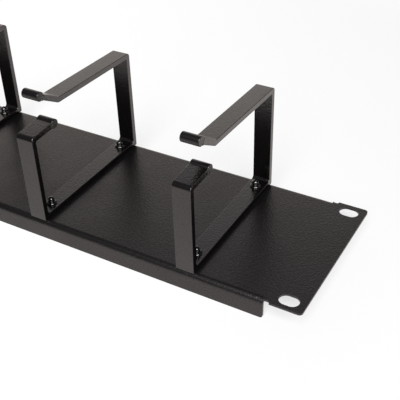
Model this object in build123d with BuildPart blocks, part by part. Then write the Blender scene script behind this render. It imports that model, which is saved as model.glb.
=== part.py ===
"""Rack cable lacing bar: a two unit folded panel that carries a row of open cable rings.

The part lies face up and rests on its two folded flanges. X runs along the panel, Y across it and Z
out of its face. The origin is the centre of the four rack slots, on the rear face of the ears.
Each ring is one flat bar, riveted across the panel, with a short leg at the front (-Y) and a long leg
at the rear (+Y). Both of its ends carry a round rod, so that cables slip in without being scratched.
"""

import os
from math import cos, radians, sin, sqrt, tan

from build123d import *

os.makedirs("parts", exist_ok=True)

# Panel, folded from one sheet
panel_length = 482.6
panel_height = 88.1
sheet = 1.2
flange_depth = 11.2
fold_inner_radius = 1.9
flange_corner_radius = 1.5
ear_length = 19.4
ear_corner_radius = 2.0
relief_width = 3.0
relief_depth = 1.3
relief_corner_radius = 1.0

# Rack slots in the ears, each centre measured from the panel's end and from its long edge
slot_inset_x = 8.75
slot_inset_y = 5.95
slot_length = 10.2
slot_width = 7.4

# Cable rings, each bent from one flat bar
ring_count = 5
end_ring_inset = 61.3
bar_width = 10.0
bar_thickness = 3.0
leg_inset = 0.55
short_leg_height = 50.6
long_leg_height = 60.2
lip_reach = 18.3
lip_rise = 3.0
arm_reach = 63.0
arm_rise = 2.1
upturn_length = 15.1
upturn_angle = 29.0

# Bends of the bar, each with its own radius inside and outside
lip_inner_radius = 0.6
lip_outer_radius = 2.5
foot_inner_radius = 1.8
foot_outer_radius = 0.8
corner_inner_radius = 0.6
corner_outer_radius = 2.0
upturn_inner_radius = 2.0
upturn_outer_radius = 3.0

# Round rods on the ends of the bar
rod_diameter = 5.0

# Blind rivets, set from the rear, that hold the rings to the panel
front_rivet_inset = 11.7
rear_rivet_inset = 10.5
shank_diameter = 3.2
shank_clearance = 0.05
rivet_head_diameter = 6.5
rivet_head_height = 1.1
tail_diameter = 5.9
tail_height = 1.2
mandrel_diameter = 3.9
mandrel_height = 4.15

# Places on the panel
flange_length = panel_length - 2 * ear_length
fold_outer_radius = fold_inner_radius + sheet
relief_spacing = flange_length + relief_width
slot_spacing_x = panel_length - 2 * slot_inset_x
slot_spacing_y = panel_height - 2 * slot_inset_y
ring_spacing = (panel_length - 2 * end_ring_inset) / (ring_count - 1)
ring_places = [(number - (ring_count - 1) / 2) * ring_spacing for number in range(ring_count)]

# Places across one ring
ring_depth = panel_height - 2 * leg_inset
half_bar = bar_thickness / 2
short_leg = half_bar - ring_depth / 2
long_leg = ring_depth / 2 - half_bar
front_rivet = front_rivet_inset - ring_depth / 2
rear_rivet = ring_depth / 2 - rear_rivet_inset
hole_radius = shank_diameter / 2 + shank_clearance
strip_top = sheet + bar_thickness

# Round rods: each has a flat as wide as the bar is thick, and the end of the bar butts against it
rod_radius = rod_diameter / 2
rod_seat = sqrt(rod_radius**2 - half_bar**2)

# Middle line of the bar, as (Y, Z), from the rod on the lip to the rod on the arm
lip_direction = Vector(cos(radians(lip_rise)), sin(radians(lip_rise)))
upturn_slope = radians(arm_rise + upturn_angle)
upturn_direction = Vector(-cos(upturn_slope), sin(upturn_slope))
lip_bend = Vector(short_leg, sheet + short_leg_height - half_bar)
short_foot = Vector(short_leg, sheet + half_bar)
long_foot = Vector(long_leg, sheet + half_bar)
arm_corner = Vector(long_leg, sheet + long_leg_height - half_bar)
arm_run = arm_reach - half_bar
arm_bend = arm_corner + Vector(-arm_run, arm_run * tan(radians(arm_rise)))
front_rod_centre = lip_bend + lip_direction * ((lip_reach - half_bar) / lip_direction.X)
rear_rod_centre = arm_bend + upturn_direction * upturn_length

# Bends in order along the bar, as place, radius on the side of the ring's middle and radius outside
ring_middle = Vector(0, sheet + short_leg_height / 2)
bends = [
    (lip_bend, lip_inner_radius, lip_outer_radius),
    (short_foot, foot_inner_radius, foot_outer_radius),
    (long_foot, foot_inner_radius, foot_outer_radius),
    (arm_corner, corner_inner_radius, corner_outer_radius),
    (arm_bend, upturn_outer_radius, upturn_inner_radius),
]


def export(piece, name):
    """Label a finished piece and write it under its name."""
    piece.part.label = name
    export_step(piece.part, f"parts/{name}.step")


def export_for_each_ring(piece, name):
    """Write one copy of a piece at each ring, numbered from the left."""
    for number, place in enumerate(ring_places, start=1):
        with BuildPart() as copy:
            with Locations((place, 0, 0)):
                add(piece.part)
        export(copy, f"{name}_{number}")


# Panel: a channel folded down along both long edges, between two flat ears with the rack slots
with BuildPart() as panel:
    with BuildSketch(Plane.YZ.offset(-flange_length / 2)):
        with BuildLine():
            edge = panel_height / 2
            flange_tip = sheet - flange_depth
            outline = [(-edge, flange_tip), (-edge, sheet), (edge, sheet), (edge, flange_tip)]
            outer_skin = FilletPolyline(*outline, radius=fold_outer_radius)
            offset(outer_skin, amount=-sheet, side=Side.RIGHT)
        make_face()
    extrude(amount=flange_length)
    flange_corners = panel.edges().filter_by(Axis.Y).group_by(Axis.Z)[0]
    fillet(flange_corners, flange_corner_radius)
    with BuildSketch():
        RectangleRounded(panel_length, panel_height, ear_corner_radius)
        with GridLocations(0, panel_height, 1, 2):
            Rectangle(flange_length, 2 * fold_outer_radius, mode=Mode.SUBTRACT)
        with GridLocations(relief_spacing, panel_height, 2, 2):
            RectangleRounded(relief_width, 2 * relief_depth, relief_corner_radius, mode=Mode.SUBTRACT)
        with GridLocations(slot_spacing_x, slot_spacing_y, 2, 2):
            SlotOverall(slot_length, slot_width, mode=Mode.SUBTRACT)
    extrude(amount=sheet)
    rivet_places = [(place, row, sheet) for place in ring_places for row in (front_rivet, rear_rivet)]
    with Locations(*rivet_places):
        Hole(hole_radius, depth=sheet)
export(panel, "panel")

# Cable ring: the bar follows its middle line, with a radius at each side of every bend
with BuildPart() as ring:
    with BuildSketch(Plane.YZ) as profile:
        with BuildLine():
            lip_end = front_rod_centre - lip_direction * rod_seat
            upturn_end = rear_rod_centre - upturn_direction * rod_seat
            Polyline(lip_end, lip_bend, short_foot, long_foot, arm_corner, arm_bend, upturn_end)
        trace(line_width=bar_thickness)
        for bend, inner_radius, outer_radius in bends:
            inner, outer = profile.vertices().sort_by_distance(bend)[:2].sort_by_distance(ring_middle)
            fillet(inner, inner_radius)
            outer = profile.vertices().sort_by_distance(outer)[0]
            fillet(outer, outer_radius)
    extrude(amount=bar_width / 2, both=True)
    with Locations((0, front_rivet, strip_top), (0, rear_rivet, strip_top)):
        Hole(hole_radius, depth=bar_thickness)
export_for_each_ring(ring, "ring")

# Rods: as long as the bar is wide, each turned so that its flat faces the end of the bar
for name, centre, direction in [
    ("front_rod", front_rod_centre, lip_direction),
    ("rear_rod", rear_rod_centre, upturn_direction),
]:
    rod_origin = (-bar_width / 2, centre.X, centre.Y)
    rod_plane = Plane(origin=rod_origin, x_dir=(0, -direction.X, -direction.Y), z_dir=(1, 0, 0))
    with BuildPart() as rod:
        with BuildSketch(rod_plane):
            Circle(rod_radius)
            with Locations((rod_seat, 0)):
                Rectangle(rod_radius, rod_diameter, align=(Align.MIN, Align.CENTER), mode=Mode.SUBTRACT)
        extrude(amount=bar_width)
    export_for_each_ring(rod, name)

# Blind rivets, turned: the head under the panel, the shank, the spread tail and the mandrel's end
rivet_steps = [
    (rivet_head_diameter, -rivet_head_height, 0),
    (shank_diameter, 0, strip_top),
    (tail_diameter, strip_top, strip_top + tail_height),
    (mandrel_diameter, strip_top + tail_height, strip_top + mandrel_height),
]
for name, row in [("front_rivet", front_rivet), ("rear_rivet", rear_rivet)]:
    with BuildPart() as rivet:
        with BuildSketch(Plane.XZ.offset(-row)):
            for diameter, low, high in rivet_steps:
                with Locations((0, low)):
                    Rectangle(diameter / 2, high - low, align=(Align.MIN, Align.MIN))
        revolve(axis=Axis((0, row, 0), (0, 0, 1)))
    export_for_each_ring(rivet, name)
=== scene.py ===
"""Rack cable lacing bar, dressed for its picture: a folded black panel that carries open cable rings.

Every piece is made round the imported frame, in metres. X runs along the panel, Y across it and Z out of
its face. Run as a script, the file makes the pieces in order, then the stage with its camera.
"""

from math import asin, cos, pi, radians, sin

import bmesh
import bpy
from bpy.props import FloatProperty, FloatVectorProperty, IntProperty, PointerProperty
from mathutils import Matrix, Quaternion, Vector


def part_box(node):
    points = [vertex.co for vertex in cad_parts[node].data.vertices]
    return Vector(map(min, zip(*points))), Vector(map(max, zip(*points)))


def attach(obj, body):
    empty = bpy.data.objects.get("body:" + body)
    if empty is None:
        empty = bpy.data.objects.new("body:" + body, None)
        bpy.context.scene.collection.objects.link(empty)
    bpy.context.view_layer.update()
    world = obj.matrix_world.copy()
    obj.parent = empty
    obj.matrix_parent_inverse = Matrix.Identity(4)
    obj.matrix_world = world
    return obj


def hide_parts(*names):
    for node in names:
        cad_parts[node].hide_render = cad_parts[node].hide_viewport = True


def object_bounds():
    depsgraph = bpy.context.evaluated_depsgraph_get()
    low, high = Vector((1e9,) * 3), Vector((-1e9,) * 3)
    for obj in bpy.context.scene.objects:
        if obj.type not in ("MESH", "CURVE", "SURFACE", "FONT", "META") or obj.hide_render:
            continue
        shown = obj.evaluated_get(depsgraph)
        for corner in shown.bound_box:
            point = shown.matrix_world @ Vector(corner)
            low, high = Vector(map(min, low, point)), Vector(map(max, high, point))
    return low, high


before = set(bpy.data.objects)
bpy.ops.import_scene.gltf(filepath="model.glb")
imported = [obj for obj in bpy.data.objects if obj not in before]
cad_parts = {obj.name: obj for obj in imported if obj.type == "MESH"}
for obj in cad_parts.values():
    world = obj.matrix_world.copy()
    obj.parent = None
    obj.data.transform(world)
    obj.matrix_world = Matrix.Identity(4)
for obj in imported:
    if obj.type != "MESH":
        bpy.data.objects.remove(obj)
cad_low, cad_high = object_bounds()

bl_info = {
    "name": "Rack cable lacing bar",
    "version": (1, 0, 0),
    "blender": (4, 5, 0),
    "location": "3D View > Sidebar > Lacing bar",
    "description": "Dresses a rack cable lacing bar and sets its stage",
    "category": "Object",
}


def middle(node):
    """The middle of a node's box."""
    low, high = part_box(node)
    return (low + high) / 2


# The rings, read from the frame
ring_count = sum(name.startswith("ring_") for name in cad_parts)
ring_numbers = range(1, ring_count + 1)
ring_places = [middle(f"ring_{number}").x for number in ring_numbers]
middle_ring = min(ring_numbers, key=lambda number: abs(ring_places[number - 1]))
ring_low, ring_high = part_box("ring_1")
ring_half = (ring_high.x - ring_low.x) / 2

# The bar's thickness and the slopes of its two ends, which the boxes don't give
bar_thickness = 0.003
lip_rise = radians(3.0)
upturn_slope = radians(31.1)

# Heights that a rivet's head and tail bear on: the sheet's rear face and the top of the bar
rear_face = 0.0
strip_top = ring_low.z + bar_thickness

white = (1.0, 1.0, 1.0)


class Value:
    """A node's socket that adds Math nodes when Python's operators are used on it."""

    def __init__(self, graph, socket):
        self.graph = graph
        self.socket = socket

    def math(self, operation, *terms):
        """Add one Math node on these terms, in this order."""
        sockets = dict(enumerate(terms))
        return self.graph.add("ShaderNodeMath", {"operation": operation}, sockets)("Value")

    def __add__(self, other):
        return self.math("ADD", self, other)

    def __radd__(self, other):
        return self.math("ADD", other, self)

    def __sub__(self, other):
        return self.math("SUBTRACT", self, other)

    def __rsub__(self, other):
        return self.math("SUBTRACT", other, self)

    def __mul__(self, other):
        return self.math("MULTIPLY", self, other)

    def __rmul__(self, other):
        return self.math("MULTIPLY", other, self)

    def __truediv__(self, other):
        return self.math("DIVIDE", self, other)

    def __rtruediv__(self, other):
        return self.math("DIVIDE", other, self)

    def at_least(self, limit):
        """The value or the limit, whichever is larger."""
        return self.math("MAXIMUM", self, limit)

    def at_most(self, limit):
        """The value or the limit, whichever is smaller."""
        return self.math("MINIMUM", self, limit)

    def clamped(self):
        """The value, kept between 0 and 1."""
        return self.at_least(0.0).at_most(1.0)

    def ramp(self, start, end):
        """How far the value has come from start to end, kept between 0 and 1."""
        return ((self - start) / (end - start)).clamped()


class Graph:
    """A node tree that is written from Python."""

    def __init__(self, tree):
        self.tree = tree
        self.tree.nodes.clear()

    def add(self, kind, settings=None, sockets=None):
        """Add a node, set its settings, then its sockets, and return a function that gives its outputs."""
        node = self.tree.nodes.new(kind)
        for name, setting in (settings or {}).items():
            if name == "stops":
                self.set_stops(node.color_ramp, setting)
            else:
                setattr(node, name, setting)
        for name, value in (sockets or {}).items():
            self.feed(self.find(node.inputs, name), value)
        return lambda name: Value(self, self.find(node.outputs, name))

    def feed(self, socket, value):
        """Link a socket to another node's output, or set its value."""
        if isinstance(value, Value):
            self.tree.links.new(value.socket, socket)
        else:
            socket.default_value = value

    @staticmethod
    def find(sockets, name):
        """A socket by its place, or else by its identifier or its name."""
        if isinstance(name, int):
            return sockets[name]
        same = [socket for socket in sockets if socket.identifier == name]
        return (same or [socket for socket in sockets if socket.name == name])[0]

    @staticmethod
    def set_stops(ramp, stops):
        """Give a colour ramp these stops, each a place and a grey."""
        while len(ramp.elements) < len(stops):
            ramp.elements.new(1.0)
        for element, (place, grey) in zip(ramp.elements, stops):
            element.position = place
            element.color = (grey, grey, grey, 1.0)


def new_material(name):
    """An empty node material, and the graph of its tree."""
    material = bpy.data.materials.new(name)
    material.use_nodes = True
    return material, Graph(material.node_tree)


def opaque(colour):
    """A colour as a node takes it, with full alpha."""
    return (*colour, 1.0)


def mixed(graph, factor, first, second):
    """A colour between two: the first where the factor is 0, the second where it is 1."""
    colours = {"Factor": factor, "A_Color": opaque(first), "B_Color": opaque(second)}
    return graph.add("ShaderNodeMix", {"data_type": "RGBA"}, colours)("Result_Color")


def noise(graph, place, size, detail):
    """Soft noise whose lumps are about this size, as a value from 0 to 1."""
    sockets = {"Vector": place, "Scale": 1 / size, "Detail": detail}
    return graph.add("ShaderNodeTexNoise", None, sockets)("Fac")


def coat_material(name, colour, tint, grain, depth, roughness, spread, dullness=0.16, ior=1.75):
    """Black powder coat with a fine leathery skin, made once under its name.

    The grain is the size of one pebble of the skin, the depth is its height, and the spread is how far
    the roughness wanders from place to place. The dullness is the share of the skin that mirrors almost
    nothing, and the ior says how strongly the rest mirrors.
    """
    if name in bpy.data.materials:
        return bpy.data.materials[name]
    material, graph = new_material(name)
    place = graph.add("ShaderNodeTexCoord")("Object")
    pebble_sockets = {"Vector": place, "Scale": 1 / grain, "Smoothness": 0.8, "Randomness": 0.9}
    pebbles = graph.add("ShaderNodeTexVoronoi", {"feature": "SMOOTH_F1"}, pebble_sockets)("Distance")
    skin = noise(graph, place, grain * 1.5, detail=1.0)
    dust = noise(graph, place, grain * 0.7, detail=2.0)
    waves = noise(graph, place, grain * 14, detail=0.0)
    patch_size = 0.03
    patches = noise(graph, place, patch_size, detail=3.0)
    height = pebbles + 0.4 * skin + 0.1 * dust + 0.5 * waves
    bump = graph.add("ShaderNodeBump", None, {"Strength": 1.0, "Distance": depth, "Height": height})

    # The noises lie around 0.5, so each of these wanders around its own level
    rough = roughness + spread * (patches - 0.5) + 0.10 * (dust - 0.5)
    dull = dullness + 0.9 * (dust - 0.5) + 0.3 * (patches - 0.5)
    shade = 0.5 + 0.8 * (patches - 0.5) + 0.5 * (skin - 0.5)
    darker = [0.75 * part for part in colour]
    lighter = [1.25 * part for part in colour]
    surface = {
        "Base Color": mixed(graph, shade.clamped(), darker, lighter),
        "Roughness": rough.clamped(),
        "Metallic": dull.clamped(),
        "IOR": ior,
        "Specular Tint": opaque(tint),
        "Normal": bump("Normal"),
    }
    shader = graph.add("ShaderNodeBsdfPrincipled", None, surface)("BSDF")
    graph.add("ShaderNodeOutputMaterial", None, {"Surface": shader})
    return material


def panel_coat():
    """The panel's coat: a matt black with a clear leathery skin."""
    look = bpy.context.scene.lacing_bar_finish
    return coat_material(
        "panel_powder_coat",
        colour=look.coat_colour,
        tint=look.coat_tint,
        grain=look.grain,
        depth=look.grain_depth,
        roughness=look.coat_roughness,
        spread=0.08,
    )


def ring_coat():
    """The rings' coat: the same powder, on smoother bar, so its skin is flatter and mirrors more."""
    look = bpy.context.scene.lacing_bar_finish
    return coat_material(
        "ring_powder_coat",
        colour=look.coat_colour,
        tint=look.coat_tint,
        grain=look.grain,
        depth=0.9 * look.grain_depth,
        roughness=look.ring_roughness,
        spread=0.06,
        dullness=0.04,
        ior=1.82,
    )


def rod_coat():
    """The rods' coat: thinner, with a finer and flatter skin, over turned steel."""
    look = bpy.context.scene.lacing_bar_finish
    return coat_material(
        "rod_gloss_coat",
        colour=look.coat_colour,
        tint=look.coat_tint,
        grain=0.8 * look.grain,
        depth=0.35 * look.grain_depth,
        roughness=look.rod_roughness,
        spread=0.06,
    )


def rivet_black():
    """The rivets' gloss black, over pressed steel."""
    look = bpy.context.scene.lacing_bar_finish
    return coat_material(
        "rivet_gloss_black",
        colour=look.rivet_colour,
        tint=white,
        grain=0.8 * look.grain,
        depth=0.12 * look.grain_depth,
        roughness=look.rivet_roughness,
        spread=0.05,
    )


def new_piece(name, mesh):
    """An object for a mesh, at the origin."""
    piece = bpy.data.objects.new(name, mesh)
    bpy.context.scene.collection.objects.link(piece)
    return piece


def merged_shape(node, name, same_point=2e-6, flat=radians(0.5)):
    """A node's form as a new closed mesh, with the triangles of each flat face joined."""
    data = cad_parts[node].data
    mesh = bpy.data.meshes.new(name)
    points = [vertex.co for vertex in data.vertices]
    mesh.from_pydata(points, [], [tuple(polygon.vertices) for polygon in data.polygons])
    shape = bmesh.new()
    shape.from_mesh(mesh)
    bmesh.ops.remove_doubles(shape, verts=shape.verts, dist=same_point)
    bmesh.ops.dissolve_limit(shape, angle_limit=flat, verts=shape.verts, edges=shape.edges)
    shape.to_mesh(mesh)
    shape.free()
    return mesh


def mark_edges(mesh, least=radians(40)):
    """Mark each edge that turns by more than this for rounding."""
    shape = bmesh.new()
    shape.from_mesh(mesh)
    weights = shape.edges.layers.float.new("bevel_weight_edge")
    for edge in shape.edges:
        edge[weights] = 1.0 if edge.calc_face_angle(0.0) > least else 0.0
    shape.to_mesh(mesh)
    shape.free()


def smooth(mesh):
    """Shade all faces of a mesh smoothly."""
    for polygon in mesh.polygons:
        polygon.use_smooth = True


def round_edges(piece, width, steps, same_point=1e-7):
    """Round the marked edges of a piece, join the points that fall together, and even out its normals."""
    smooth(piece.data)
    bevel = piece.modifiers.new("rounding", "BEVEL")
    bevel.limit_method = "WEIGHT"
    bevel.width = width
    bevel.segments = steps
    bevel.miter_outer = "MITER_ARC"
    joined = piece.modifiers.new("joined_points", "WELD")
    joined.merge_threshold = same_point
    normals = piece.modifiers.new("normals", "WEIGHTED_NORMAL")
    normals.weight = 100


def freeze(piece):
    """Turn what a piece's modifiers make into its plain mesh."""
    depsgraph = bpy.context.evaluated_depsgraph_get()
    evaluated = piece.evaluated_get(depsgraph)
    mesh = bpy.data.meshes.new_from_object(evaluated, preserve_all_data_layers=True, depsgraph=depsgraph)
    mesh.name = piece.name
    piece.modifiers.clear()
    piece.data = mesh
    if not mesh.polygons:
        raise RuntimeError(f"{piece.name} came out empty")
    return piece


def tree_with_inputs(name, inputs):
    """A geometry tree, its graph and its inputs, each of which has a name and a socket type."""
    tree = bpy.data.node_groups.new(name, "GeometryNodeTree")
    tree.interface.new_socket("Geometry", in_out="INPUT", socket_type="NodeSocketGeometry")
    for label, kind in inputs:
        tree.interface.new_socket(label, in_out="INPUT", socket_type=kind)
    tree.interface.new_socket("Geometry", in_out="OUTPUT", socket_type="NodeSocketGeometry")
    graph = Graph(tree)
    return tree, graph, graph.add("NodeGroupInput")


def grow(piece, tree, **inputs):
    """Put a geometry tree on a piece, with its inputs set by their identifiers."""
    modifier = piece.modifiers.new(tree.name, "NODES")
    modifier.node_group = tree
    for item in tree.interface.items_tree:
        if item.in_out == "INPUT" and item.name in inputs:
            modifier[item.identifier] = inputs[item.name]


def close_tree(graph, geometry, material):
    """End a geometry tree: instances made real, then the material."""
    real = graph.add("GeometryNodeRealizeInstances", None, {"Geometry": geometry})("Geometry")
    sockets = {"Geometry": real, "Material": material}
    coated = graph.add("GeometryNodeSetMaterial", None, sockets)("Geometry")
    graph.add("NodeGroupOutput", None, {"Geometry": coated})


def row_tree():
    """A tree that sets copies of a shape in a centred row along X."""
    name = "row_along_x"
    if name in bpy.data.node_groups:
        return bpy.data.node_groups[name]
    inputs = [
        ("Count", "NodeSocketInt"),
        ("Spacing", "NodeSocketFloat"),
        ("Material", "NodeSocketMaterial"),
    ]
    tree, graph, given = tree_with_inputs(name, inputs)
    first = -0.5 * given("Spacing") * (given("Count") - 1.0)
    start = graph.add("ShaderNodeCombineXYZ", None, {"X": first})("Vector")
    step = graph.add("ShaderNodeCombineXYZ", None, {"X": given("Spacing")})("Vector")
    line = {"Count": given("Count"), "Start Location": start, "Offset": step}
    places = graph.add("GeometryNodeMeshLine", {"mode": "OFFSET"}, line)("Mesh")
    copies = {"Points": places, "Instance": given("Geometry")}
    row = graph.add("GeometryNodeInstanceOnPoints", None, copies)("Instances")
    close_tree(graph, row, given("Material"))
    return tree


def set_in_row(piece, material):
    """Set copies of a piece, which stands at the middle ring, at all the rings."""
    spacing = (ring_places[-1] - ring_places[0]) / (ring_count - 1)
    grow(piece, row_tree(), Count=ring_count, Spacing=spacing, Material=material)


def hand_over(piece, slot, *nodes):
    """Let a finished piece ride on the body, in the place of its nodes."""
    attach(piece, "root")
    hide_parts(*nodes)


def node_row(kind):
    """The names of the nodes of one kind, one for each ring."""
    return [f"{kind}_{number}" for number in ring_numbers]


class LacingBarSizes(bpy.types.PropertyGroup):
    """Sizes of the rounded edges, the tacks of weld and the rivets"""

    sheet_edge: FloatProperty(
        name="Sheet edge",
        description="Rounding of the coated sheet's edges",
        default=0.00045,
        min=0,
        unit="LENGTH",
    )
    bar_edge: FloatProperty(
        name="Bar edge",
        description="Rounding along the rings' flat bar",
        default=0.00095,
        min=0,
        unit="LENGTH",
    )
    rod_edge: FloatProperty(
        name="Rod edge",
        description="Rounding of the ends of the rods",
        default=0.0008,
        min=0,
        unit="LENGTH",
    )
    edge_steps: IntProperty(
        name="Edge steps",
        description="Faces round each rounded edge",
        default=3,
        min=1,
        max=8,
    )
    tack_count: IntProperty(
        name="Tacks",
        description="Tacks of weld on each side of the bar at a rod",
        default=9,
        min=1,
    )
    tack_size: FloatProperty(
        name="Tack size",
        description="Diameter of the largest tack of weld",
        default=0.0009,
        min=0,
        unit="LENGTH",
    )
    shank_diameter: FloatProperty(
        name="Shank",
        description="Diameter of a rivet's shank",
        default=0.0032,
        min=0,
        unit="LENGTH",
    )
    tail_diameter: FloatProperty(
        name="Tail",
        description="Diameter of a rivet's spread tail",
        default=0.0059,
        min=0,
        unit="LENGTH",
    )
    tail_height: FloatProperty(
        name="Tail height",
        description="Height of a rivet's spread tail",
        default=0.0012,
        min=0,
        unit="LENGTH",
    )
    tail_edge: FloatProperty(
        name="Tail edge",
        description="Rounding of a rivet's spread tail",
        default=0.00105,
        min=0,
        unit="LENGTH",
    )
    ball_diameter: FloatProperty(
        name="Mandrel ball",
        description="Diameter of the ball in a rivet's tail",
        default=0.0039,
        min=0,
        unit="LENGTH",
    )
    head_edge: FloatProperty(
        name="Head edge",
        description="Rounding of a rivet's head",
        default=0.0008,
        min=0,
        unit="LENGTH",
    )
    bore_diameter: FloatProperty(
        name="Mandrel bore",
        description="Diameter of the hole in a rivet's head",
        default=0.0019,
        min=0,
        unit="LENGTH",
    )
    bore_depth: FloatProperty(
        name="Bore depth",
        description="Depth of the hole in a rivet's head",
        default=0.0008,
        min=0,
        unit="LENGTH",
    )
    turn_steps: IntProperty(
        name="Turn steps",
        description="Faces round each turned piece",
        default=40,
        min=12,
    )


class LacingBarFinish(bpy.types.PropertyGroup):
    """Colours and surface of the black finishes"""

    coat_colour: FloatVectorProperty(
        name="Coat",
        description="Colour of the powder coat",
        default=(0.0016, 0.0014, 0.0013),
        min=0,
        max=1,
        size=3,
        subtype="COLOR",
    )
    coat_tint: FloatVectorProperty(
        name="Coat gloss",
        description="Tint of the coat's reflections",
        default=(1.0, 0.94, 0.97),
        min=0,
        max=1,
        size=3,
        subtype="COLOR",
    )
    coat_roughness: FloatProperty(
        name="Coat roughness",
        description="Roughness of the panel's coat",
        default=0.31,
        min=0,
        max=1,
        subtype="FACTOR",
    )
    ring_roughness: FloatProperty(
        name="Ring roughness",
        description="Roughness of the rings' coat",
        default=0.2,
        min=0,
        max=1,
        subtype="FACTOR",
    )
    grain: FloatProperty(
        name="Grain",
        description="Size of one pebble of the coat's skin",
        default=0.001,
        min=0.0001,
        unit="LENGTH",
    )
    grain_depth: FloatProperty(
        name="Grain depth",
        description="Height of the coat's skin",
        default=0.000068,
        min=0,
        unit="LENGTH",
    )
    rod_roughness: FloatProperty(
        name="Rod roughness",
        description="Roughness of the rods' coat",
        default=0.30,
        min=0,
        max=1,
        subtype="FACTOR",
    )
    rivet_colour: FloatVectorProperty(
        name="Rivets",
        description="Colour of the rivets",
        default=(0.002, 0.002, 0.002),
        min=0,
        max=1,
        size=3,
        subtype="COLOR",
    )
    rivet_roughness: FloatProperty(
        name="Rivet roughness",
        description="Roughness of the rivets",
        default=0.09,
        min=0,
        max=1,
        subtype="FACTOR",
    )


class LacingBarStage(bpy.types.PropertyGroup):
    """Camera, lamps, walls and floor"""

    eye: FloatVectorProperty(
        name="Eye",
        description="Place of the camera",
        default=(0.330063, -0.280307, 0.246272),
        size=3,
        subtype="TRANSLATION",
        unit="LENGTH",
    )
    azimuth: FloatProperty(
        name="Azimuth",
        description="Turn of the view from +Y towards -X",
        default=radians(30.635),
        unit="ROTATION",
    )
    elevation: FloatProperty(
        name="Elevation",
        description="Dip of the view below level",
        default=radians(35.887),
        unit="ROTATION",
    )
    roll: FloatProperty(
        name="Roll",
        description="Roll of the camera",
        default=radians(-1.755),
        unit="ROTATION",
    )
    lens: FloatProperty(
        name="Lens",
        description="Focal length, in millimetres",
        default=69.2,
        unit="CAMERA",
    )
    floor_size: FloatProperty(
        name="Floor",
        description="Side of the floor",
        default=12.0,
        min=0,
        unit="LENGTH",
    )
    floor_white: FloatProperty(
        name="Floor white",
        description="Whiteness of the floor",
        default=0.22,
        min=0,
        max=1,
        subtype="FACTOR",
    )
    floor_glow: FloatProperty(
        name="Floor glow",
        description="Light that lifts the floor to white where the camera sees it",
        default=0.67,
    )
    back_colour: FloatVectorProperty(
        name="Back colour",
        description="Colour of the studio near the floor, in reflections",
        default=(1.0, 0.945, 0.875),
        min=0,
        max=1,
        size=3,
        subtype="COLOR",
    )
    back_level: FloatProperty(
        name="Back",
        description="Level of the backdrop near the floor",
        default=0.92,
    )
    front_level: FloatProperty(
        name="Front",
        description="Level of the studio behind the camera",
        default=0.085,
    )
    key_level: FloatProperty(
        name="Key lamp",
        description="Power of the key lamp",
        default=36.0,
        unit="POWER",
    )
    side_level: FloatProperty(
        name="Side lamp",
        description="Power of the side lamp",
        default=42.0,
        unit="POWER",
    )


class LACINGBAR_OT_panel(bpy.types.Operator):
    """Give the folded panel its rounded edges and its coat"""

    bl_idname = "lacing_bar.panel"
    bl_label = "Folded panel"

    def execute(self, context):
        sizes = context.scene.lacing_bar_sizes
        mesh = merged_shape("panel", "folded_panel")
        mark_edges(mesh)
        mesh.materials.append(panel_coat())
        piece = new_piece("folded_panel", mesh)
        round_edges(piece, sizes.sheet_edge, sizes.edge_steps)
        hand_over(freeze(piece), "panel_coat", "panel")
        return {"FINISHED"}


class LACINGBAR_OT_rings(bpy.types.Operator):
    """Set the cable rings in a row, with the rounded edges of their bar"""

    bl_idname = "lacing_bar.rings"
    bl_label = "Cable rings"

    def execute(self, context):
        sizes = context.scene.lacing_bar_sizes
        mesh = merged_shape(f"ring_{middle_ring}", "cable_rings")
        mark_edges(mesh)
        piece = new_piece("cable_rings", mesh)
        set_in_row(piece, ring_coat())
        round_edges(piece, sizes.bar_edge, sizes.edge_steps)
        hand_over(freeze(piece), "ring_coat", *node_row("ring"))
        return {"FINISHED"}


class LACINGBAR_OT_rods(bpy.types.Operator):
    """Set the round rods on the ends of the rings"""

    bl_idname = "lacing_bar.rods"
    bl_label = "Round rods"

    def execute(self, context):
        sizes = context.scene.lacing_bar_sizes
        for kind in ("front_rod", "rear_rod"):
            mesh = merged_shape(f"{kind}_{middle_ring}", f"{kind}s")
            mark_edges(mesh)
            piece = new_piece(f"{kind}s", mesh)
            set_in_row(piece, rod_coat())
            round_edges(piece, sizes.rod_edge, sizes.edge_steps)
            hand_over(freeze(piece), "rod_coat", *node_row(kind))
        return {"FINISHED"}


def arc(centre, radius, start, end, steps):
    """Points on an arc, as (radius, height) pairs, from one angle to the other."""
    angles = [start + (end - start) * step / steps for step in range(steps + 1)]
    return [(centre[0] + radius * cos(angle), centre[1] + radius * sin(angle)) for angle in angles]


def rivet_outline(sizes, kind):
    """Half of a blind rivet's section, as (radius, height), from the bore in its head to its ball."""
    low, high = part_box(f"{kind}_{middle_ring}")
    head = (high.x - low.x) / 2
    bore = sizes.bore_diameter / 2
    bore_end = low.z + sizes.bore_depth
    shank = sizes.shank_diameter / 2
    tail = sizes.tail_diameter / 2
    tail_top = strip_top + sizes.tail_height
    ball = sizes.ball_diameter / 2
    ball_centre = high.z - ball
    neck = asin((tail_top - ball_centre) / ball)
    head_round = (head - sizes.head_edge, low.z + sizes.head_edge)
    tail_round = (tail - sizes.tail_edge, tail_top - sizes.tail_edge)
    outline = [(0, bore_end), (bore, bore_end), (bore, low.z)]
    outline += arc(head_round, sizes.head_edge, -pi / 2, 0, steps=5)
    outline += [(head, rear_face), (shank, rear_face), (shank, strip_top), (tail, strip_top)]
    outline += arc(tail_round, sizes.tail_edge, 0, pi / 2, steps=7)
    outline += arc((0, ball_centre), ball, neck, pi / 2, steps=8)
    return outline


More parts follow.
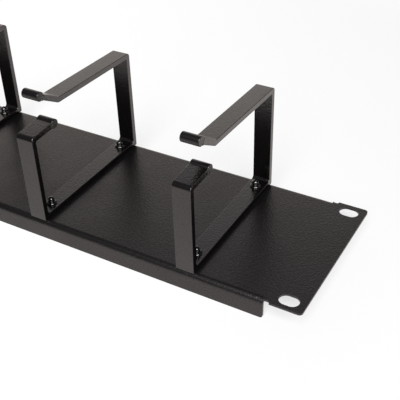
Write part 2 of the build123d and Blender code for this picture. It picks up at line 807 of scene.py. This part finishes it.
def turned_mesh(name, outline, steps, place, on_axis=1e-6):
    """A closed turned shape from half of its section, from its low end on the axis to its high end."""
    turns = [2 * pi * step / steps for step in range(steps)]
    circle = [(cos(turn), sin(turn)) for turn in turns]
    points = []
    rows = []
    for radius, height in outline:
        if radius < on_axis:
            rows.append([len(points)] * steps)
            points.append((place.x, place.y, height))
        else:
            rows.append(range(len(points), len(points) + steps))
            points += [(place.x + radius * x, place.y + radius * y, height) for x, y in circle]
    faces = []
    for lower, upper in zip(rows, rows[1:]):
        for step in range(steps):
            after = (step + 1) % steps
            corners = (lower[step], lower[after], upper[after], upper[step])
            faces.append(list(dict.fromkeys(corners)))
    mesh = bpy.data.meshes.new(name)
    mesh.from_pydata(points, [], faces)
    return mesh


class LACINGBAR_OT_rivets(bpy.types.Operator):
    """Turn the blind rivets, with their spread tails and the balls of their mandrels"""

    bl_idname = "lacing_bar.rivets"
    bl_label = "Blind rivets"

    def execute(self, context):
        sizes = context.scene.lacing_bar_sizes
        for kind in ("front_rivet", "rear_rivet"):
            place = middle(f"{kind}_{middle_ring}")
            mesh = turned_mesh(f"{kind}s", rivet_outline(sizes, kind), sizes.turn_steps, place)
            smooth(mesh)
            piece = new_piece(f"{kind}s", mesh)
            set_in_row(piece, rivet_black())
            hand_over(freeze(piece), "rivet_black", *node_row(kind))
        return {"FINISHED"}


def bead_tree():
    """A tree that scatters small round beads along the edges of a mesh."""
    name = "beads_along_path"
    if name in bpy.data.node_groups:
        return bpy.data.node_groups[name]
    inputs = [
        ("Count", "NodeSocketInt"),
        ("Smallest", "NodeSocketFloat"),
        ("Largest", "NodeSocketFloat"),
        ("Spread", "NodeSocketVector"),
        ("Seed", "NodeSocketInt"),
        ("Material", "NodeSocketMaterial"),
    ]
    tree, graph, given = tree_with_inputs(name, inputs)
    paths = graph.add("GeometryNodeMeshToCurve", None, {"Mesh": given("Geometry")})("Curve")
    spread_points = {"Curve": paths, "Count": given("Count")}
    points = graph.add("GeometryNodeCurveToPoints", {"mode": "COUNT"}, spread_points)("Points")
    turned_back = {0: given("Spread"), "Scale": -1.0}
    back = graph.add("ShaderNodeVectorMath", {"operation": "SCALE"}, turned_back)("Vector")
    shift = {"Min": back, "Max": given("Spread"), "Seed": given("Seed")}
    shifts = graph.add("FunctionNodeRandomValue", {"data_type": "FLOAT_VECTOR"}, shift)("Value")
    moved = graph.add("GeometryNodeSetPosition", None, {"Geometry": points, "Offset": shifts})("Geometry")
    size = {"Min_001": given("Smallest"), "Max_001": given("Largest"), "Seed": given("Seed") + 1.0}
    sizes = graph.add("FunctionNodeRandomValue", {"data_type": "FLOAT"}, size)("Value_001")
    bead = graph.add("GeometryNodeMeshIcoSphere", None, {"Radius": 0.5, "Subdivisions": 2})("Mesh")
    smooth_bead = graph.add("GeometryNodeSetShadeSmooth", None, {"Geometry": bead})("Geometry")
    copies = {"Points": moved, "Instance": smooth_bead, "Scale": sizes}
    beads = graph.add("GeometryNodeInstanceOnPoints", None, copies)("Instances")
    close_tree(graph, beads, given("Material"))
    return tree


def path_mesh(name, paths):
    """A mesh of single edges, one for each pair of ends."""
    mesh = bpy.data.meshes.new(name)
    points = [point for path in paths for point in path]
    mesh.from_pydata(points, [(2 * number, 2 * number + 1) for number in range(len(paths))], [])
    return mesh


def rod_seams():
    """The short lines on both sides of the bar where its ends meet the rods, for every ring."""
    front_low, front_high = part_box(f"front_rod_{middle_ring}")
    rear_low, rear_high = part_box(f"rear_rod_{middle_ring}")
    radius = (front_high.z - front_low.z) / 2
    half_bar = bar_thickness / 2
    seat = (radius**2 - half_bar**2) ** 0.5
    seam_reach = 0.97 * ring_half
    seams = []

    # The ends of the bar, each as the middle of its rod and the direction in which the bar runs there
    lip_end = (front_high.y - radius, front_high.z - radius, cos(lip_rise), sin(lip_rise))
    upturn_end = (rear_low.y + radius, rear_high.z - radius, -cos(upturn_slope), sin(upturn_slope))
    for centre_y, centre_z, direction_y, direction_z in (lip_end, upturn_end):
        y = centre_y - seat * direction_y
        z = centre_z - seat * direction_z
        rise = half_bar * Vector((0, -direction_z, direction_y))
        for place in ring_places:
            for side in (-seam_reach, seam_reach):
                foot = Vector((place + side, y, z))
                seams.append([foot - rise, foot + rise])
    return seams


class LACINGBAR_OT_welds(bpy.types.Operator):
    """Scatter the tacks of weld and coat in the seams between the rods and the bar"""

    bl_idname = "lacing_bar.welds"
    bl_label = "Weld tacks"

    def execute(self, context):
        sizes = context.scene.lacing_bar_sizes
        piece = new_piece("weld_tacks", path_mesh("weld_tacks", rod_seams()))
        grow(
            piece,
            bead_tree(),
            Count=sizes.tack_count,
            Smallest=sizes.tack_size * 0.6,
            Largest=sizes.tack_size,
            Spread=(0.0001, 0.0004, 0.0002),
            Seed=4,
            Material=rod_coat(),
        )
        hand_over(freeze(piece), "rod_coat")
        return {"FINISHED"}


def floor_material(stage):
    """Pale paper that keeps the part's shadow, and glows to white where the camera sees it.

    In the coat's gloss the paper shows in the studio's colour, and fades towards the front.
    """
    material, graph = new_material("floor_white")
    place = graph.add("ShaderNodeTexCoord")("Object")
    part = graph.add("ShaderNodeSeparateXYZ", None, {"Vector": place})
    path = graph.add("ShaderNodeLightPath")
    in_gloss = (0.72 + 0.5 * part("X") + 1.6 * part("Y")).clamped() * path("Is Glossy Ray")
    seen = path("Is Camera Ray") + in_gloss + path("Is Transmission Ray")

    # The glow grows towards the left, and away from the part
    left_glow = 0.15
    far_glow = 0.4
    part_reach = 0.35
    distance = graph.add("ShaderNodeVectorMath", {"operation": "LENGTH"}, {0: place})("Value")
    leftward = part("X").ramp(0.25, -0.25)
    beyond_part = (distance - part_reach).clamped()
    strength = stage.floor_glow + left_glow * leftward + far_glow * beyond_part

    colour = mixed(graph, path("Is Glossy Ray"), white, stage.back_colour)
    light = {"Color": colour, "Strength": strength * seen.clamped()}
    glow = graph.add("ShaderNodeEmission", None, light)("Emission")
    paper_colour = {"Color": opaque([stage.floor_white] * 3)}
    paper = graph.add("ShaderNodeBsdfDiffuse", None, paper_colour)("BSDF")
    shader = graph.add("ShaderNodeAddShader", None, {0: paper, 1: glow})("Shader")
    graph.add("ShaderNodeOutputMaterial", None, {"Surface": shader})
    return material


def studio_world(stage):
    """Studio walls, white near the floor and darker towards the ceiling and behind the camera."""
    world = bpy.data.worlds.new("studio")
    world.use_nodes = True
    graph = Graph(world.node_tree)
    way = graph.add("ShaderNodeTexCoord")("Generated")
    part = graph.add("ShaderNodeSeparateXYZ", None, {"Vector": way})

    # How bright the backdrop is at each height, from level at 0 to straight up at 1
    stops = [
        (0.0, 0.97),
        (0.43, 0.97),
        (0.5, 0.73),
        (0.56, 0.55),
        (0.616, 0.375),
        (0.669, 0.265),
        (0.73, 0.17),
        (0.8, 0.1),
        (0.88, 0.04),
    ]
    backdrop = graph.add("ShaderNodeValToRGB", {"stops": stops}, {"Fac": part("Z")})("Color")

    # It fades towards the front, towards the right and, by up to 40 percent, high up on the left
    behind = part("Y").ramp(-0.25, 0.35)
    not_right = part("X").ramp(0.15, -0.25)
    high_left = 30 * (-0.45 - part("X")).clamped() * (part("Z") - 0.5).clamped()
    not_high_left = 1 - high_left.at_most(0.4)
    level = stage.back_level * backdrop * behind * not_right * not_high_left + stage.front_level

    # The camera sees plain white, and the light on the part has the studio's colour near the floor
    seen = graph.add("ShaderNodeLightPath")("Is Camera Ray")
    near_floor = part("Z").ramp(0.585, 0.525) * (1 - seen)
    colour = mixed(graph, near_floor, white, stage.back_colour)
    light = {"Color": colour, "Strength": level.at_least(seen)}
    background = graph.add("ShaderNodeBackground", None, light)("Background")
    graph.add("ShaderNodeOutputWorld", None, {"Surface": background})
    return world


def set_lamp(name, size, power, place, target):
    """Add a soft oval lamp at a place, facing a point."""
    data = bpy.data.lights.new(name, "AREA")
    data.shape = "ELLIPSE"
    data.size, data.size_y = size
    data.energy = power
    lamp = bpy.data.objects.new(name, data)
    lamp.location = place
    lamp.rotation_mode = "QUATERNION"
    lamp.rotation_quaternion = (target - place).to_track_quat("-Z", "Y")
    bpy.context.scene.collection.objects.link(lamp)


def direction(azimuth, elevation):
    """A direction from an azimuth, counted from +Y towards -X, and an elevation."""
    return Vector((-sin(azimuth) * cos(elevation), cos(azimuth) * cos(elevation), sin(elevation)))


class LACINGBAR_OT_stage(bpy.types.Operator):
    """Set the white floor, the studio light and the camera"""

    bl_idname = "lacing_bar.stage"
    bl_label = "Stage"

    def execute(self, context):
        stage = context.scene.lacing_bar_stage
        self.set_floor(stage)
        context.scene.world = studio_world(stage)
        self.set_lamps(stage)
        self.set_camera(context.scene, stage)
        context.scene.view_settings.view_transform = "Standard"
        return {"FINISHED"}

    def set_floor(self, stage):
        """A wide white floor under the panel's flanges."""
        half = stage.floor_size / 2
        corners = [(-half, -half), (half, -half), (half, half), (-half, half)]
        mesh = bpy.data.meshes.new("floor")
        mesh.from_pydata([(x, y, cad_low.z) for x, y in corners], [], [(0, 1, 2, 3)])
        mesh.materials.append(floor_material(stage))
        new_piece("floor", mesh)

    def set_lamps(self, stage):
        """A tall soft key lamp above the camera and a wider lamp to its right."""
        target = Vector((0.1, 0, 0.03))
        above_eye = Vector((0.18, -0.68, 0.71))
        right = Vector((0.62, -0.45, 0.64))
        distance = 2.0
        set_lamp("key_lamp", (0.85, 2.0), stage.key_level, target + distance * above_eye, target)
        set_lamp("side_lamp", (1.1, 1.0), stage.side_level, target + distance * right, target)

    def set_camera(self, scene, stage):
        """The camera, at the viewing angle of the picture."""
        data = bpy.data.cameras.new("camera")
        data.lens = stage.lens
        data.sensor_width = 36
        data.clip_start = 0.01
        camera = bpy.data.objects.new("camera", data)
        look = direction(stage.azimuth, -stage.elevation)
        camera.location = stage.eye
        camera.rotation_mode = "QUATERNION"
        camera.rotation_quaternion = look.to_track_quat("-Z", "Y") @ Quaternion((0, 0, 1), stage.roll)
        scene.collection.objects.link(camera)
        scene.camera = camera


class LACINGBAR_PT_panel(bpy.types.Panel):
    """The pieces of the lacing bar, their sizes, their finish and the stage"""

    bl_idname = "LACINGBAR_PT_panel"
    bl_label = "Lacing bar"
    bl_space_type = "VIEW_3D"
    bl_region_type = "UI"
    bl_category = "Lacing bar"

    def draw(self, context):
        scene = context.scene
        for group in (scene.lacing_bar_sizes, scene.lacing_bar_finish, scene.lacing_bar_stage):
            box = self.layout.box()
            for name in type(group).__annotations__:
                box.prop(group, name)
        for operator in operators:
            self.layout.operator(operator.bl_idname)


operators = (
    LACINGBAR_OT_panel,
    LACINGBAR_OT_rings,
    LACINGBAR_OT_rods,
    LACINGBAR_OT_rivets,
    LACINGBAR_OT_welds,
    LACINGBAR_OT_stage,
)
groups = (LacingBarSizes, LacingBarFinish, LacingBarStage)
classes = groups + operators + (LACINGBAR_PT_panel,)


def register():
    """Register the classes and their settings on the scene."""
    for one in classes:
        bpy.utils.register_class(one)
    bpy.types.Scene.lacing_bar_sizes = PointerProperty(type=LacingBarSizes)
    bpy.types.Scene.lacing_bar_finish = PointerProperty(type=LacingBarFinish)
    bpy.types.Scene.lacing_bar_stage = PointerProperty(type=LacingBarStage)


def unregister():
    """Remove the settings and the classes."""
    del bpy.types.Scene.lacing_bar_sizes
    del bpy.types.Scene.lacing_bar_finish
    del bpy.types.Scene.lacing_bar_stage
    for one in reversed(classes):
        bpy.utils.unregister_class(one)


def main():
    """Make the pieces and the stage in order."""
    register()
    bpy.ops.lacing_bar.panel()
    bpy.ops.lacing_bar.rings()
    bpy.ops.lacing_bar.rods()
    bpy.ops.lacing_bar.rivets()
    bpy.ops.lacing_bar.welds()
    bpy.ops.lacing_bar.stage()


if __name__ == "__main__":
    main()
